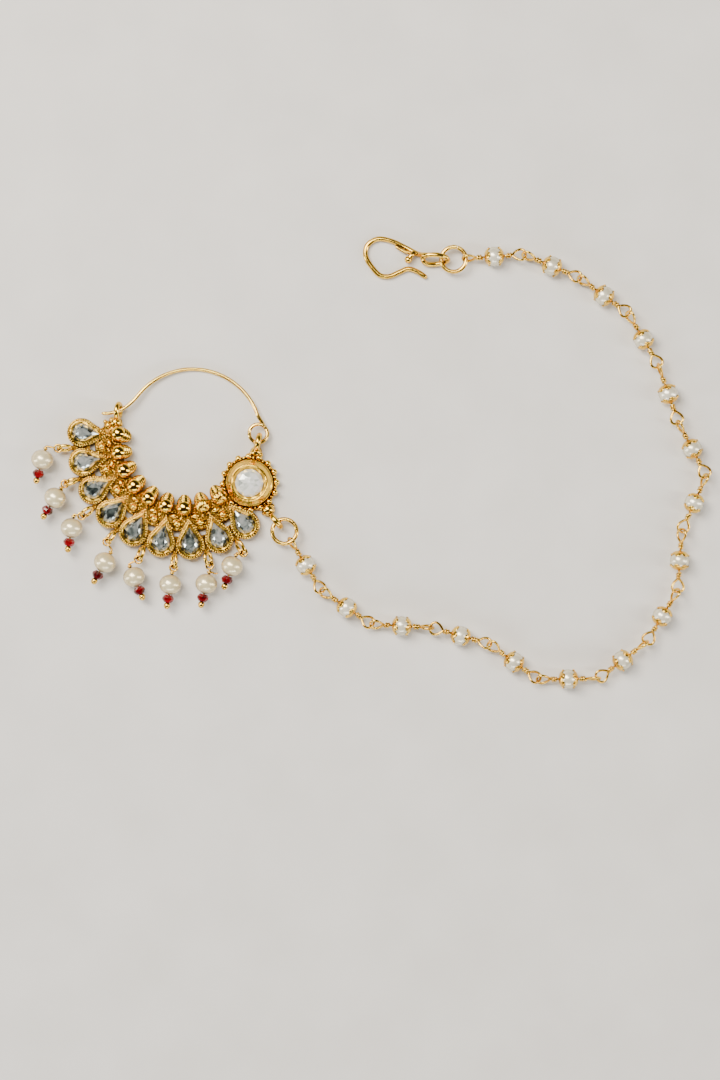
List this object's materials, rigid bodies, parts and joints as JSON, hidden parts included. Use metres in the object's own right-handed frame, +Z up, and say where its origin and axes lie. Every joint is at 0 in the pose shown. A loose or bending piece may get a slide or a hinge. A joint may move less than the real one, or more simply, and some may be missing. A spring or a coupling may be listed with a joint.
{
  "type": "nose ring",
  "caption": "Nath nose ring: gilt crescent of foiled pear stones with pearl and ruby glass drops, a wire that closes the ring, and a pearl link chain to a hair hook",
  "frame": {"origin": "under the middle of the whole piece as it lies, on the table, at the centre of the bounding box's base", "axes": "+X runs along the length, from the nose ring towards the chain's far bend; +Y runs across, from the drops towards the nose wire; +Z is up, out of the face of the stones"},
  "size_m": [0.1456, 0.097, 0.0049],
  "materials": {
    "gilt_frame": "antique gold plate on brass, bright on the high spots and browner in the recesses",
    "pale_gilt_wire": "smooth pale gold plate on brass wire",
    "gilt_chain_wire": "gold plated brass wire and thin filigree caps",
    "gilt_hook": "polished gold plated thick brass wire",
    "gilt_ring": "polished gold plated brass wire",
    "gilt_pin": "gold plated brass headpin",
    "foiled_glass": "clear faceted glass over grey silver foil, so it reads opaque",
    "kundan_glass": "domed clear glass over white silver foil, so it reads opaque",
    "cream_pearl": "cream imitation pearl, soft lustre",
    "white_pearl": "white imitation pearl, soft lustre",
    "ruby_glass": "deep red faceted glass"
  },
  "bodies": {
    "jewel": {"crescent_frame": "gilt_frame", "round_stone": "kundan_glass", "chain_links_1": "gilt_chain_wire", "chain_links_2": "gilt_chain_wire", "chain_links_3": "gilt_chain_wire", "chain_links_4": "gilt_chain_wire", "chain_pearl_01": "white_pearl", "chain_pearl_02": "white_pearl", "chain_pearl_03": "white_pearl", "chain_pearl_04": "white_pearl", "chain_pearl_05": "white_pearl", "chain_pearl_06": "white_pearl", "chain_pearl_07": "white_pearl", "chain_pearl_08": "white_pearl", "chain_pearl_09": "white_pearl", "chain_pearl_10": "white_pearl", "chain_pearl_11": "white_pearl", "chain_pearl_12": "white_pearl", "chain_pearl_13": "white_pearl", "chain_pearl_14": "white_pearl", "chain_pearl_15": "white_pearl", "chain_pearl_16": "white_pearl", "hair_hook": "gilt_hook", "jump_ring_1": "gilt_ring", "jump_ring_2": "gilt_ring", "pear_stone_1": "foiled_glass", "pear_stone_2": "foiled_glass", "pear_stone_3": "foiled_glass", "pear_stone_4": "foiled_glass", "pear_stone_5": "foiled_glass", "pear_stone_6": "foiled_glass", "pear_stone_7": "foiled_glass", "pear_stone_8": "foiled_glass", "pear_stone_9": "foiled_glass", "drop_pin_1": "gilt_pin", "drop_pearl_1": "cream_pearl", "drop_glass_bead_1": "ruby_glass", "drop_pin_2": "gilt_pin", "drop_pearl_2": "cream_pearl", "drop_glass_bead_2": "ruby_glass", "drop_pin_3": "gilt_pin", "drop_pearl_3": "cream_pearl", "drop_glass_bead_3": "ruby_glass", "drop_pin_4": "gilt_pin", "drop_pearl_4": "cream_pearl", "drop_glass_bead_4": "ruby_glass", "drop_pin_5": "gilt_pin", "drop_pearl_5": "cream_pearl", "drop_glass_bead_5": "ruby_glass", "drop_pin_6": "gilt_pin", "drop_pearl_6": "cream_pearl", "drop_glass_bead_6": "ruby_glass", "drop_pin_7": "gilt_pin", "drop_pearl_7": "cream_pearl", "drop_glass_bead_7": "ruby_glass", "drop_pin_8": "gilt_pin", "drop_pearl_8": "cream_pearl", "drop_glass_bead_8": "ruby_glass"},
    "nose_wire_body": {"nose_wire": "pale_gilt_wire"}
  },
  "joints": [
    {"name": "nose_wire_swing", "type": "hinge", "parent": "jewel", "child": "nose_wire_body", "pos_m": [-0.02404, 0.00431, 0.00209], "axis": [-0.9759, 0.2183, 0], "range_deg": [-155, 75]}
  ]
}
